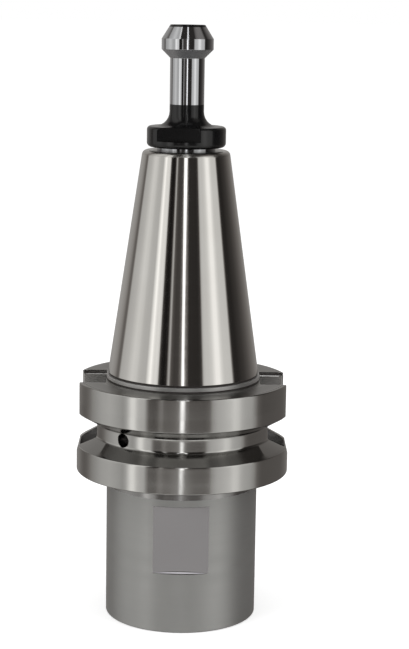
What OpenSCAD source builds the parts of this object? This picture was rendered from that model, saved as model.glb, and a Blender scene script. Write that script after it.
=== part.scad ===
// Steep-taper tool holder, size 40, standing on its nose.
// The frame's origin is the middle of the nose's end face, and +Z runs up the
// axis through the flange and the 7:24 taper to the head of the pull stud.
// The holder is turned and milled from one bar. The pull stud screws into its
// small end. The drive slots lie on the X axis and the spanner flats on Y.

/* [Taper] */
// Diameter of the cone at the gauge plane
gauge_d = 44.45; // [44:0.05:45]
// Length of the cone above the gauge plane
taper_len = 65.4; // [60:0.1:70]
// Radius that rounds the edge of the small end
tip_round = 1.5; // [0.8:0.1:2]

/* [Collar under the taper] */
// Diameter of the collar between the cone and the flange
collar_d = 45.4; // [45.2:0.1:46.4]
// Height of the gauge plane above the flange
collar_h = 2; // [1.6:0.1:3]
// Height of the grinding relief at the foot of the cone
relief_h = 0.6; // [0.3:0.1:0.8]
// Diameter at the bottom of the grinding relief
relief_d = 43.7; // [43:0.1:44]

/* [Flange] */
// Outer diameter of the flange
flange_d = 63; // [61:0.5:66]
// Thickness of the flange
flange_t = 27.6; // [26:0.2:30]
// Bevel on the rims' edges
rim_bevel = 0.3; // [0.1:0.1:0.6]

/* [Gripper groove] */
// Diameter at the bottom of the groove
groove_d = 53; // [52:0.5:55]
// Width of the groove at the outside of the flange
groove_w = 10; // [9:0.1:10.4]
// Distance from the gauge plane down to the middle of the groove
groove_drop = 16.6; // [16:0.1:17]
// Slope of each groove wall, measured from the flange's own plane
groove_slope = 30; // [28:1:32]
// Radius in the two bottom corners of the groove
groove_round = 0.8; // [0.4:0.1:1]

/* [Drive slots] */
// Width of each slot
slot_w = 16.1; // [15:0.1:17]
// Distance from the axis to the floor of each slot
slot_floor = 22.55; // [22.4:0.05:24]
// Distance from the gauge plane down to the centre of the slot's round end
slot_end_drop = 15.6; // [14.6:0.1:16.6]
// Bevel along the slot's upper edges
slot_bevel = 1; // [0.2:0.1:1.2]
// Bevel on the upright edges of the slot's mouth
mouth_bevel = 0.6; // [0.2:0.1:1]

/* [Pocket in the groove] */
// Diameter of the small drilled pocket
pocket_d = 4; // [3:0.1:4.1]
// Depth of the pocket to its full width
pocket_depth = 6; // [4:0.5:9]
// Direction of the pocket round the axis, from +X
pocket_turn = 230; // [210:1:250]

/* [Nose] */
// Diameter of the nose
nose_d = 45; // [44:0.5:48]
// Length of the nose below the flange
nose_len = 44; // [42:1:60]
// Bevel round the end of the nose
nose_bevel = 0.3; // [0.2:0.1:1]
// Radius in the corner between nose and flange
nose_root = 0.6; // [0.3:0.1:1]
// Distance across the two spanner flats
flat_across = 42; // [40:0.5:43]
// Height of the lower end of the flats
flat_low = 17.8; // [15:0.2:18.6]
// Length of the flats along the axis
flat_len = 20; // [16:0.5:22]

/* [Threaded socket in the nose] */
// Crest diameter of the G 1/2 female thread
socket_d = 18.631; // [18.631:0.01:18.95]
// Diameter of the countersink at the socket's mouth
socket_mouth_d = 22; // [21.2:0.1:24]
// Depth of the socket
socket_depth = 26; // [20:1:30]

/* [Bore through the shank] */
// Diameter of the coolant passage
coolant_d = 8; // [5:0.5:10]
// Diameter of the tapped hole for the pull stud
stud_hole_d = 16; // [16:0.1:16.4]
// Depth of the tapped hole below the small end
stud_hole_depth = 36; // [30:1:40]
// Diameter of the pilot bore above the tapped hole
pilot_bore_d = 17.04; // [17.02:0.01:17.2]

/* [Pull stud] */
// Diameter of the stud's head
head_d = 15; // [14.5:0.1:15.5]
// Diameter of the head's flat top
head_top_d = 10; // [9:0.5:11]
// Height of the head's cylinder
head_h = 3; // [2.5:0.1:3.5]
// Distance from the stud's flange face up to the gripped edge of the head
grip_reach = 28; // [26:0.1:30]
// Distance from the stud's flange face to the top of the stud
stud_reach = 35; // [34.8:0.1:37]
// Diameter of the neck
neck_d = 10; // [9:0.1:10.5]
// Radius where the neck runs into the flange
neck_round = 4.2; // [3:0.1:4.6]
// Diameter of the stud's flange
stud_flange_d = 23; // [22:0.5:24]
// Thickness of the stud's flange
stud_flange_t = 6; // [5:0.1:7]
// Radius on the flange's upper edge
stud_top_round = 1; // [0.5:0.1:1.2]
// Radius on the flange's lower edge
stud_low_round = 1.3; // [0.8:0.1:1.6]
// Distance across the stud's spanner flats
stud_across = 19; // [18.6:0.1:20]
// Height of the round lip left under the stud's flats
stud_lip = 2; // [1.5:0.1:2.5]
// Direction of the first of the stud's flats, from +X
stud_turn = 257; // [240:1:280]
// Gap seen between the stud's flange and the small end
stud_gap = 0.9; // [0.3:0.1:1.2]
// Diameter of the ground pilot
pilot_d = 17; // [16.9:0.01:17]
// Length of the pilot
pilot_len = 8; // [6:0.5:9]
// Diameter of the stud's thread
stud_thread_d = 15.9; // [15.7:0.05:15.95]
// Length of the stud's thread
stud_thread_len = 17; // [14:1:20]
// Diameter of the coolant hole through the stud
stud_bore_d = 4; // [3:0.5:5]

/* [Hidden] */
$fn = 96;

// A 7:24 cone loses 7 mm of diameter in each 24 mm of length
taper_fall = 7 / 24 / 2;
taper_half_angle = atan(taper_fall);
drill_half_angle = 59;
thread_bevel = 1.2;
// Length by which a cutter runs past the surface that it cuts
over = 1;

flange_low = nose_len;
flange_high = flange_low + flange_t;
gauge_z = flange_high + collar_h;
small_end_z = gauge_z + taper_len;
small_end_r = gauge_d / 2 - taper_len * taper_fall;

groove_z = gauge_z - groove_drop;
groove_depth = (flange_d - groove_d) / 2;
groove_floor_half = groove_w / 2 - groove_depth * tan(groove_slope);

slot_end_z = gauge_z - slot_end_drop;
slot_corner_x = sqrt(pow(flange_d / 2, 2) - pow(slot_w / 2, 2));

stud_face_z = small_end_z + stud_gap;
pilot_foot_z = stud_face_z - pilot_len;
thread_foot_z = pilot_foot_z - stud_thread_len;

// Half of the cone's outline, with a tangent arc round the edge of its small end
module taper_outline() {
    arc_x = small_end_r + tip_round * taper_fall - tip_round / cos(taper_half_angle);
    arc_z = small_end_z - tip_round;
    polygon([
        [0, gauge_z],
        [gauge_d / 2, gauge_z],
        [arc_x + tip_round * cos(taper_half_angle), arc_z + tip_round * sin(taper_half_angle)],
        [arc_x, arc_z],
        [arc_x, small_end_z],
        [0, small_end_z]
    ]);
    translate([arc_x, arc_z]) circle(r = tip_round);
}

// Half of the collar's outline, with the relief that the grinding wheel runs into
module collar_outline() {
    translate([0, flange_high - over]) square([collar_d / 2, collar_h + over - relief_h]);
    translate([0, gauge_z - relief_h - over]) square([relief_d / 2, relief_h + 2 * over]);
}

// What stays in the groove's upper bottom corner: the corner less a circle tangent to both of its sides
module groove_corner() {
    reach = groove_round * tan((90 - groove_slope) / 2);
    corner = [groove_d / 2, groove_floor_half];
    centre = corner + [groove_round, -reach];
    on_wall = corner + reach * [cos(groove_slope), sin(groove_slope)];
    difference() {
        polygon([
            centre,
            on_wall,
            on_wall + [0, over],
            corner + [-over, over],
            [corner[0] - over, centre[1]]
        ]);
        translate(centre) circle(r = groove_round);
    }
}

// Outline of the gripper groove: a V with a flat bottom and a radius in each bottom corner
module groove_outline() {
    rim_x = flange_d / 2 + over;
    rim_half = groove_w / 2 + over * tan(groove_slope);
    translate([0, groove_z]) difference() {
        polygon([
            [groove_d / 2, -groove_floor_half],
            [rim_x, -rim_half],
            [rim_x, rim_half],
            [groove_d / 2, groove_floor_half]
        ]);
        for (side = [0, 1]) mirror([0, side]) groove_corner();
    }
}

// Half of the flange's outline: a bevelled disc with the groove round it
module flange_outline() {
    rim_r = flange_d / 2;
    difference() {
        polygon([
            [0, flange_low],
            [rim_r - rim_bevel, flange_low],
            [rim_r, flange_low + rim_bevel],
            [rim_r, flange_high - rim_bevel],
            [rim_r - rim_bevel, flange_high],
            [0, flange_high]
        ]);
        groove_outline();
    }
}

// Half of the nose's outline, with a fillet up to the flange
module nose_outline() {
    nose_r = nose_d / 2;
    polygon([
        [0, 0],
        [nose_r - nose_bevel, 0],
        [nose_r, nose_bevel],
        [nose_r, flange_low + over],
        [0, flange_low + over]
    ]);
    difference() {
        translate([nose_r - over, flange_low - nose_root]) square([nose_root + over, nose_root + over]);
        translate([nose_r + nose_root, flange_low - nose_root]) circle(r = nose_root);
    }
}

// Half of the space inside the holder: threaded socket, coolant passage, tapped hole and pilot bore
module bore_outline() {
    socket_r = socket_d / 2;
    coolant_r = coolant_d / 2;
    hole_r = stud_hole_d / 2;
    mouth_h = (socket_mouth_d - socket_d) / 2;
    socket_tip = (socket_r - coolant_r) / tan(drill_half_angle);
    hole_foot = small_end_z - stud_hole_depth;
    hole_tip = (hole_r - coolant_r) / tan(drill_half_angle);
    polygon([
        [0, -over],
        [socket_mouth_d / 2 + over, -over],
        [socket_r, mouth_h],
        [socket_r, socket_depth],
        [coolant_r, socket_depth + socket_tip],
        [coolant_r, hole_foot - hole_tip],
        [hole_r, hole_foot],
        [hole_r, pilot_foot_z],
        [pilot_bore_d / 2, pilot_foot_z],
        [pilot_bore_d / 2, small_end_z + over],
        [0, small_end_z + over]
    ]);
}

// Cutter for the drive slot on +X: a slot with a round lower end, open upwards and outwards
module drive_slot() {
    half = slot_w / 2;
    slot_len = flange_d / 2 - slot_floor + over;
    translate([slot_floor, 0, 0]) rotate([90, 0, 90]) linear_extrude(slot_len) {
        translate([0, slot_end_z]) circle(r = half);
        translate([-half, slot_end_z]) square([slot_w, gauge_z - slot_end_z]);
        polygon([
            [-half, flange_high - slot_bevel],
            [half, flange_high - slot_bevel],
            [half + slot_bevel + over, flange_high + over],
            [-half - slot_bevel - over, flange_high + over]
        ]);
    }
    mouth_x = slot_corner_x - mouth_bevel;
    mouth_far = flange_d / 2 + over;
    mouth_half = half + mouth_far - mouth_x;
    translate([0, 0, slot_end_z]) linear_extrude(gauge_z - slot_end_z)
        polygon([[mouth_x, -half], [mouth_far, -mouth_half], [mouth_far, mouth_half], [mouth_x, half]]);
}

// Cutter for the spanner flat on +Y
module nose_flat() {
    translate([-nose_d / 2, flat_across / 2, flat_low]) cube([nose_d, nose_d / 2, flat_len]);
}

// Cutter for the pocket that is drilled into the bottom of the groove, with the drill's cone
module groove_pocket() {
    tip = pocket_d / 2 / tan(drill_half_angle);
    translate([0, 0, groove_z]) rotate([0, 90, pocket_turn]) translate([0, 0, groove_d / 2 - pocket_depth]) {
        cylinder(d = pocket_d, h = pocket_depth + over);
        translate([0, 0, -tip]) cylinder(r1 = 0, r2 = pocket_d / 2, h = tip);
    }
}

module holder_body() {
    color([0.62, 0.61, 0.59]) difference() {
        rotate_extrude() {
            nose_outline();
            flange_outline();
            collar_outline();
            taper_outline();
        }
        rotate_extrude() bore_outline();
        for (turn = [0, 180]) rotate([0, 0, turn]) {
            drive_slot();
            nose_flat();
        }
        groove_pocket();
    }
}

// Half of the stud flange's outline: a disc with a different radius on each edge
module stud_flange_outline() {
    flange_r = stud_flange_d / 2;
    top_z = stud_face_z + stud_flange_t;
    translate([0, stud_face_z]) square([flange_r - stud_low_round, stud_flange_t]);
    translate([0, stud_face_z + stud_low_round])
        square([flange_r, stud_flange_t - stud_low_round - stud_top_round]);
    translate([0, top_z - stud_top_round - over]) square([flange_r - stud_top_round, stud_top_round + over]);
    translate([flange_r - stud_low_round, stud_face_z + stud_low_round]) circle(r = stud_low_round);
    translate([flange_r - stud_top_round, top_z - stud_top_round]) circle(r = stud_top_round);
}

// Half of the stud's outline above its flange: a filleted neck and a head with a 45 degree grip face
module stud_head_outline() {
    neck_r = neck_d / 2;
    head_r = head_d / 2;
    top_z = stud_face_z + stud_flange_t;
    grip_z = stud_face_z + grip_reach;
    difference() {
        translate([neck_r - over, top_z - over]) square([neck_round + over, neck_round + over]);
        translate([neck_r + neck_round, top_z + neck_round]) circle(r = neck_round);
    }
    polygon([
        [0, top_z - over],
        [neck_r, top_z - over],
        [neck_r, grip_z - (head_r - neck_r)],
        [head_r, grip_z],
        [head_r, grip_z + head_h],
        [head_top_d / 2, stud_face_z + stud_reach],
        [0, stud_face_z + stud_reach]
    ]);
}

// Half of the stud's outline below its flange: the pilot and the thread
module stud_shank_outline() {
    thread_r = stud_thread_d / 2;
    translate([0, pilot_foot_z]) square([pilot_d / 2, pilot_len + over]);
    polygon([
        [0, thread_foot_z],
        [thread_r - thread_bevel, thread_foot_z],
        [thread_r, thread_foot_z + thread_bevel],
        [thread_r, pilot_foot_z + over],
        [0, pilot_foot_z + over]
    ]);
}

module pull_stud() {
    color([0.13, 0.13, 0.14]) difference() {
        rotate_extrude() {
            stud_shank_outline();
            stud_flange_outline();
            stud_head_outline();
        }
        translate([0, 0, thread_foot_z - over])
            cylinder(d = stud_bore_d, h = stud_face_z + stud_reach - thread_foot_z + 2 * over);
        for (turn = [0, 180]) rotate([0, 0, stud_turn + turn])
            translate([stud_across / 2, -stud_flange_d / 2, stud_face_z + stud_lip])
                cube([stud_flange_d / 2, stud_flange_d, stud_flange_t]);
    }
}

holder_body();
pull_stud();
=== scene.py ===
# %% [markdown]
# # A steep-taper tool holder, surface by surface
#
# The real object is two pieces of steel: a holder that is turned from one bar,
# and a pull stud that screws into its small end. Both are shown here as surfaces
# worked out with numpy, because a turned part is a profile carried round an axis,
# and polished metal shows every uneven facet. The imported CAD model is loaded
# first, and gives the frame that everything is fitted to.

import bmesh
import bpy
import numpy as np
from mathutils import Matrix, Vector


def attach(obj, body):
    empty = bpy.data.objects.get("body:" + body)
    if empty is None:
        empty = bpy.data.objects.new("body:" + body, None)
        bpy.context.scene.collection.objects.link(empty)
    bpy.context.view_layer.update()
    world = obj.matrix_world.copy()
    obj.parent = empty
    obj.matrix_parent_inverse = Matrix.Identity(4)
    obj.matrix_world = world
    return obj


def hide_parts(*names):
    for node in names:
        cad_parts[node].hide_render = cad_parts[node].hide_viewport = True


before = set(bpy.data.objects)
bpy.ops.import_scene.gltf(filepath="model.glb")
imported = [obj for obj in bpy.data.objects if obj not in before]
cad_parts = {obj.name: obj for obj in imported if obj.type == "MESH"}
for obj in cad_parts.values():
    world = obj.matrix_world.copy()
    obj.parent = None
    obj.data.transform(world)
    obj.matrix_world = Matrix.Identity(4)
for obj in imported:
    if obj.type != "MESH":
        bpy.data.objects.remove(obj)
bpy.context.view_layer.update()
MM = 0.001

# %% [markdown]
# ## The camera
#
# The lens is a moderate telephoto, a little above the flange and looking down by
# ten degrees, as a catalogue photograph is taken. Its place and turn were fitted
# to the outline of the cone and the ellipses of the flange.

# %% Camera
CAMERA_AT = (0.0, -0.5131, 0.1800)
PITCH, YAW, ROLL = np.radians([10.212, 0.682, 0.917])


def camera_turn(pitch, yaw, roll):
    """Rotation whose columns are the camera's right, up and back directions.

    Forward looks down by pitch and is swung towards +X by yaw. Right is level.
    Up is right crossed with forward, and roll turns right and up about forward.
    """
    forward = np.array([np.sin(yaw) * np.cos(pitch), np.cos(yaw) * np.cos(pitch), -np.sin(pitch)])
    right = np.array([np.cos(yaw), -np.sin(yaw), 0.0])
    up = np.cross(right, forward)
    turned_right = np.cos(roll) * right + np.sin(roll) * up
    turned_up = np.cos(roll) * up - np.sin(roll) * right
    return Matrix(np.column_stack([turned_right, turned_up, -forward]).tolist())


lens = bpy.data.cameras.new("photo_camera")
lens.sensor_width = 36.0
lens.lens = 97.83
lens.clip_start, lens.clip_end = 0.01, 100.0
bpy.context.scene.view_settings.view_transform = "Standard"
camera = bpy.data.objects.new("photo_camera", lens)
camera.matrix_world = Matrix.Translation(CAMERA_AT) @ camera_turn(PITCH, YAW, ROLL).to_4x4()
bpy.context.scene.collection.objects.link(camera)
bpy.context.scene.camera = camera
print("camera stands", round(-CAMERA_AT[1], 3), "m in front of the axis")

# %% [markdown]
# ## Helpers for surfaces
#
# Every piece below ends as one mesh in metres, with its place in its vertices.
# A patch is a grid of points, and the patches of a piece share their border
# points, so that merging doubles closes the seams.

# %% Patches and meshes
MERGE_WITHIN, SHORTEST_EDGE = 2e-6, 1e-7
SHARP_FROM = np.radians(18.0)


def grid_faces(rows, columns, closed=False):
    """Corner numbers of the quads between the points of a rows by columns grid.

    A closed grid has one more quad in each row, from the last column to the first.
    """
    numbers = np.arange(rows * columns).reshape(rows, columns)
    if closed:
        numbers = np.hstack([numbers, numbers[:, :1]])
    quads = (numbers[:-1, :-1], numbers[:-1, 1:], numbers[1:, 1:], numbers[1:, :-1])
    return np.stack(quads, axis=-1).reshape(-1, 4)


def mirrored(patch, axes):
    """The patch with the signs of some axes changed."""
    points, faces, finish = patch
    return points * np.array(axes), faces, finish


def link_mesh(name, mesh):
    """Puts a mesh into the scene as an object that sits at the origin."""
    piece = bpy.data.objects.new(name, mesh)
    bpy.context.scene.collection.objects.link(piece)
    return piece


def build_piece(name, patches, materials):
    """One closed piece from patches of (points in mm, faces, finish).

    The finish is the number of a material, or one number for each face. Doubles are
    merged within MERGE_WITHIN metres, normals are turned outwards, and edges that
    turn by more than SHARP_FROM stay crisp. Normals lean on the larger faces, so the
    flat and long faces beside a small radius shade as true planes.
    """
    first, points, faces, finishes = 0, [], [], []
    for patch_points, patch_faces, finish in patches:
        points.append(patch_points.reshape(-1, 3) * MM)
        faces += (patch_faces + first).tolist()
        finishes.append(np.broadcast_to(finish, len(patch_faces)))
        first += len(points[-1])
    mesh = bpy.data.meshes.new(name)
    mesh.from_pydata(np.vstack(points).tolist(), [], faces)
    for material in materials:
        mesh.materials.append(material)
    mesh.polygons.foreach_set("material_index", np.concatenate(finishes).astype(np.int32))
    shell = bmesh.new()
    shell.from_mesh(mesh)
    bmesh.ops.remove_doubles(shell, verts=shell.verts, dist=MERGE_WITHIN)
    bmesh.ops.dissolve_degenerate(shell, edges=shell.edges, dist=SHORTEST_EDGE)
    bmesh.ops.recalc_face_normals(shell, faces=shell.faces)
    open_edges = sum(not edge.is_manifold for edge in shell.edges)
    shell.to_mesh(mesh)
    shell.free()
    mesh.shade_smooth()
    mesh.set_sharp_from_angle(angle=SHARP_FROM)
    piece = link_mesh(name, mesh)
    lean = piece.modifiers.new("weighted_normals", "WEIGHTED_NORMAL")
    lean.keep_sharp = True
    print(name, "has", len(mesh.polygons), "faces and", open_edges, "open edges")
    return piece


print("a grid of 3 by 4 points has", len(grid_faces(3, 4)), "faces")

# %% [markdown]
# A turned profile has no truly sharp corner: the tool's nose radius and a touch
# with a file leave a small arc. `eased` takes the corners of a profile with the
# radius of each, and puts a tangent arc in its place.

# %% Profiles with eased corners
ARC_STEP = np.radians(14.0)


def eased(corners):
    """Profile points for corners given as (r, z, radius).

    At a corner that turns by angle t, the arc starts radius * tan(t / 2) before it
    and ends as far behind it, and its centre lies square to the side that comes in.
    """
    corners = np.array(corners, float)
    out = [corners[0, :2]]
    for before, (r, z, radius), after in zip(corners[:-2], corners[1:-1], corners[2:]):
        corner = np.array([r, z])
        if radius == 0:
            out.append(corner)
            continue
        way_in = corner - before[:2]
        way_out = after[:2] - corner
        way_in = way_in / np.linalg.norm(way_in)
        way_out = way_out / np.linalg.norm(way_out)
        cross = way_in[0] * way_out[1] - way_in[1] * way_out[0]
        turn = np.arctan2(cross, way_in @ way_out)
        start = corner - way_in * radius * np.tan(abs(turn) / 2)
        side = np.sign(turn) * np.array([-way_in[1], way_in[0]])
        centre = start + side * radius
        steps = max(2, int(np.ceil(abs(turn) / ARC_STEP)))
        for angle in np.linspace(0, turn, steps + 1):
            spoke = np.array([[np.cos(angle), -np.sin(angle)], [np.sin(angle), np.cos(angle)]])
            out.append(centre + spoke @ (-side * radius))
    out.append(corners[-1, :2])
    return np.array(out)


square_corner = [(0, 0, 0), (1, 0, 0.2), (1, 1, 0)]
print("a square corner that is eased by 0.2 has", len(eased(square_corner)), "points")

# %% [markdown]
# ## The holder's sizes
#
# These repeat the CAD source in millimetres. Heights are from the nose's end face,
# and most of them follow from the lengths that are stacked below the gauge plane.

# %% Holder sizes
NOSE_R, NOSE_TOP, NOSE_EDGE, NOSE_ROOT, NECK_FOOT = 22.5, 44.0, 0.35, 0.6, 39.95
FLAT_AT, FLAT_LOW, FLAT_LENGTH, FLAT_EASE = 21.0, 17.8, 20.0, 0.15
RIM_R, RIM_EDGE, FLANGE_THICK = 31.5, 0.3, 27.6
COLLAR_R, COLLAR_HEIGHT, COLLAR_LINE = 22.7, 2.0, 0.35
RELIEF_R, RELIEF_HEIGHT, RELIEF_CORNER = 21.85, 0.6, 0.1
TAPER_R, TAPER_LENGTH, TAPER_SLOPE, TAPER_EDGE, TIP_ROUND = 22.225, 65.4, 7 / 48, 0.08, 1.5
GROOVE_R, GROOVE_HALF, GROOVE_DROP, GROOVE_SLOPE = 26.5, 5.0, 16.6, np.radians(30)
GROOVE_CORNER, GROOVE_EDGE = 0.8, 0.25
SLOT_HALF, SLOT_FLOOR, SLOT_DROP = 8.05, 22.55, 15.6
TOP_BEVEL, MOUTH_BEVEL, BEVEL_ROUND = 1.0, 0.6, 0.3
POCKET_R, POCKET_DEPTH, POCKET_TURN = 2.0, 6.0, np.radians(230)
SOCKET_R, SOCKET_MOUTH_R, SOCKET_DEPTH, COOLANT_R = 9.3155, 11.0, 26.0, 4.0
TAPPED_R, TAPPED_DEPTH = 8.0, 36.0
PILOT_BORE_R, PILOT_BORE_EDGE, PILOT_LENGTH, STUD_GAP = 8.52, 0.12, 8.0, 0.9
DRILL_POINT = np.tan(np.radians(59))

FLAT_HIGH = FLAT_LOW + FLAT_LENGTH
FLANGE_TOP = NOSE_TOP + FLANGE_THICK
GAUGE_Z = FLANGE_TOP + COLLAR_HEIGHT
COLLAR_FOOT, RELIEF_Z = FLANGE_TOP + COLLAR_LINE, GAUGE_Z - RELIEF_HEIGHT
TAPER_TOP, TIP_R = GAUGE_Z + TAPER_LENGTH, TAPER_R - TAPER_LENGTH * TAPER_SLOPE
GROOVE_Z, SLOT_END = GAUGE_Z - GROOVE_DROP, GAUGE_Z - SLOT_DROP
GROOVE_FLOOR_HALF = GROOVE_HALF - (RIM_R - GROOVE_R) * np.tan(GROOVE_SLOPE)
STUD_FACE = TAPER_TOP + STUD_GAP
PILOT_FOOT, TAPPED_FOOT = STUD_FACE - PILOT_LENGTH, TAPER_TOP - TAPPED_DEPTH
print("gauge plane at", round(GAUGE_Z, 3), "mm and small end at", round(TAPER_TOP, 3), "mm")

# %% [markdown]
# ## Columns of the holder
#
# Only a quarter of the turned outside is worked out, from the middle of a drive
# slot to the middle of a spanner flat, and then it is mirrored. The columns are
# lines of constant direction. One of them lies on the flat's upright edge, so that
# edge is straight and crisp. Near a slot the columns are pushed together, and the
# first of them runs along the slot's edge.

# %% Column directions
TO_FLAT, OVER_FLAT = 74, 22
FLAT_EDGE = np.arcsin(FLAT_AT / NOSE_R)
COLUMNS = np.concatenate([
    np.linspace(0, FLAT_EDGE, TO_FLAT + 1)[:-1],
    np.linspace(FLAT_EDGE, np.pi / 2, OVER_FLAT + 1),
])
PUSH_REACH = np.radians(45)


def pushed(edge):
    """Column directions when the first one has to start at the angle edge.

    The shift fades evenly to nothing at PUSH_REACH from the slot's middle.
    """
    return COLUMNS + edge * np.clip(1 - COLUMNS / PUSH_REACH, 0, None)


print(len(COLUMNS) - 1, "columns in each quarter of the outside")

# %% [markdown]
# ## Rows of the holder
#
# A row is one circle of the turned profile. The rows come in seven runs, because
# the slot meets each run in another way: below the slot, beside its wall, round
# the rim's upper edge, over the flange's top as far as the slot's floor, along
# that floor, up the collar, which the floor just grazes, and above.

# %% The run beside the slot's wall
def bevel_section(leg):
    """Points (out from the wall, down from the turned face) across a 45 degree bevel.

    Both of its edges are rounded, and the arcs start a little outside the bevel.
    """
    run_out = BEVEL_ROUND * np.tan(np.radians(22.5))
    return eased([
        (leg + run_out, 0, 0), (leg, 0, BEVEL_ROUND), (0, leg, BEVEL_ROUND), (0, leg + run_out, 0),
    ])[1:-1]


mouth_section, top_section = bevel_section(MOUTH_BEVEL), bevel_section(TOP_BEVEL)
MOUTH_HALF = SLOT_HALF + mouth_section[0, 0]
TOP_HALF = SLOT_HALF + top_section[0, 0]
SLOT_TIP = SLOT_END - MOUTH_HALF
WALL_TOP = FLANGE_TOP - top_section[-1, 1]
beside = eased([
    (RIM_R, SLOT_TIP, 0),
    (RIM_R, GROOVE_Z - GROOVE_HALF, GROOVE_EDGE),
    (GROOVE_R, GROOVE_Z - GROOVE_FLOOR_HALF, GROOVE_CORNER),
    (GROOVE_R, GROOVE_Z + GROOVE_FLOOR_HALF, GROOVE_CORNER),
    (RIM_R, GROOVE_Z + GROOVE_HALF, GROOVE_EDGE),
    (RIM_R, WALL_TOP, 0),
])


def profile_r(z):
    """Radius of the rim or groove at height z, by straight lines between its rows."""
    return np.interp(z, beside[:, 1], beside[:, 0])


# Degrees from the foot of the slot's round end, then heights above the groove's middle
ROUND_END_STEPS = [4, 8, 12, 16, 20, 25, 30, 35, 40, 52, 57, 62, 67, 73, 79, 85]
UPRIGHT_STEPS = [3, 3.5, 4, 4.5, 7, 10]
round_end_z = SLOT_END - MOUTH_HALF * np.cos(np.radians(ROUND_END_STEPS))
more_z = np.concatenate([round_end_z, [SLOT_END], GROOVE_Z + np.array(UPRIGHT_STEPS)])
z_rows = np.unique(np.concatenate([beside[:, 1], more_z]).round(9))
beside_rows = np.column_stack([profile_r(z_rows), z_rows])
print(len(beside_rows), "rows beside the slot's wall")

# %% The runs round the rim's edge, over the top and up the collar
EDGE_STEPS, GRAZE_STEPS = 6, 5
turn = np.radians(np.linspace(0, 90, EDGE_STEPS + 1))[1:]
rim_rows = np.column_stack([
    RIM_R - RIM_EDGE * (1 - np.cos(turn)),
    FLANGE_TOP - RIM_EDGE * (1 - np.sin(turn)),
])
wall_top_x = np.sqrt((RIM_R - mouth_section[-1, 1]) ** 2 - SLOT_HALF**2)
top_x = np.linspace(wall_top_x, SLOT_FLOOR, EDGE_STEPS + 1)[1:]
top_rows = np.column_stack([np.hypot(top_x, TOP_HALF), np.full(len(top_x), FLANGE_TOP)])
graze_half = np.sqrt(COLLAR_R**2 - SLOT_FLOOR**2)
floor_share = np.concatenate([
    [1, SLOT_HALF / TOP_HALF],
    np.linspace(SLOT_HALF, graze_half, GRAZE_STEPS + 1)[1:] / TOP_HALF,
])
floor_rows = np.column_stack([
    np.hypot(SLOT_FLOOR, TOP_HALF * floor_share[1:]),
    np.full(len(floor_share) - 1, FLANGE_TOP),
])
collar_rows = np.vstack([[COLLAR_R, COLLAR_FOOT], eased([
    (COLLAR_R, FLANGE_TOP, 0),
    (COLLAR_R, RELIEF_Z, COLLAR_R - SLOT_FLOOR),
    (SLOT_FLOOR, RELIEF_Z, 0),
])[1:-1]])
print(len(rim_rows), len(top_rows), len(floor_rows), len(collar_rows), "rows in the next runs")

# %% The runs below and above the slot
below_rows = np.vstack([
    eased([
        (SOCKET_MOUTH_R, 0, 0),
        (NOSE_R, 0, NOSE_EDGE),
        (NOSE_R, FLAT_LOW - FLAT_EASE, 0),
    ]),
    [(NOSE_R, FLAT_LOW)] * 3, [(NOSE_R, FLAT_HIGH)] * 2,
    eased([
        (NOSE_R, FLAT_HIGH + FLAT_EASE, 0),
        (NOSE_R, NECK_FOOT, 0),
        (NOSE_R, NOSE_TOP, NOSE_ROOT),
        (RIM_R, NOSE_TOP, RIM_EDGE),
        (RIM_R, SLOT_TIP, 0),
    ])[:-1],
])
# How much of its lip each of the five rows at the flat's two ends keeps
LEDGE_SHARE = (1, 0.45, 0, 0, 1)
LEDGE_ROW = int(np.flatnonzero(below_rows[:, 1] == FLAT_LOW)[0])
# The last corner only gives the direction into the bore, so its own point is dropped
above_rows = eased([
    (SLOT_FLOOR, RELIEF_Z, 0),
    (RELIEF_R, RELIEF_Z, RELIEF_CORNER),
    (RELIEF_R, GAUGE_Z, RELIEF_CORNER),
    (TAPER_R, GAUGE_Z, TAPER_EDGE),
    (TIP_R, TAPER_TOP, TIP_ROUND),
    (PILOT_BORE_R, TAPER_TOP, PILOT_BORE_EDGE),
    (PILOT_BORE_R, PILOT_FOOT, 0),
])[:-1]
print(len(below_rows), "rows below the slot and", len(above_rows), "above it")

# %% [markdown]
# ## The edge that the slot cuts
#
# The slot is milled with a round lower end. Its mouth is bevelled by 0.6 mm and its
# upper edges by 1 mm. The bevel is a strip between the turned surface and the
# slot's wall: one cross section carried along the slot's outline. Each row gives
# one cross line of the strip, and round the rim's edge the section changes over.

# %% The eased edge of the slot
def slot_edge():
    """Points of the strip, rows by points of the section, from the turned face to the wall.

    The section gives how far a point lies outside the wall and below the turned
    face. Beside the round end the outline is a circle about SLOT_END, above it is
    upright, and round the rim's edge it is an arc that shrinks to the wall's corner.
    """
    half, depth = SLOT_HALF + mouth_section[:, 0], mouth_section[:, 1]
    z = beside_rows[:, 1:]
    spread = np.arccos(np.clip((SLOT_END - z) / MOUTH_HALF, 0, 1))
    y = half * np.sin(spread)
    z = np.where(z < SLOT_END, SLOT_END - half * np.cos(spread), z)
    x = np.sqrt((profile_r(z) - depth) ** 2 - y**2)
    wall_part = np.stack([x, y, z], axis=-1)
    top_half, top_depth = SLOT_HALF + top_section[:, 0], top_section[:, 1]
    arc = RIM_EDGE * (1 - depth / depth[-1])
    swing = turn[:, None]
    change = swing / (np.pi / 2)
    r = RIM_R - depth - arc * (1 - np.cos(swing))
    rim_half = (1 - change) * half + change * top_half
    rim_part = np.stack([
        np.sqrt(r**2 - rim_half**2),
        rim_half,
        FLANGE_TOP - top_depth - arc * (1 - np.sin(swing)),
    ], axis=-1)
    top_part = np.stack([
        top_x[:, None] + 0 * top_half,
        top_half + 0 * top_x[:, None],
        FLANGE_TOP - top_depth + 0 * top_x[:, None],
    ], axis=-1)
    return np.concatenate([wall_part, rim_part, top_part])


edge = slot_edge()
print("the slot's edge strip is", edge.shape[0], "by", edge.shape[1], "points")


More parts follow.
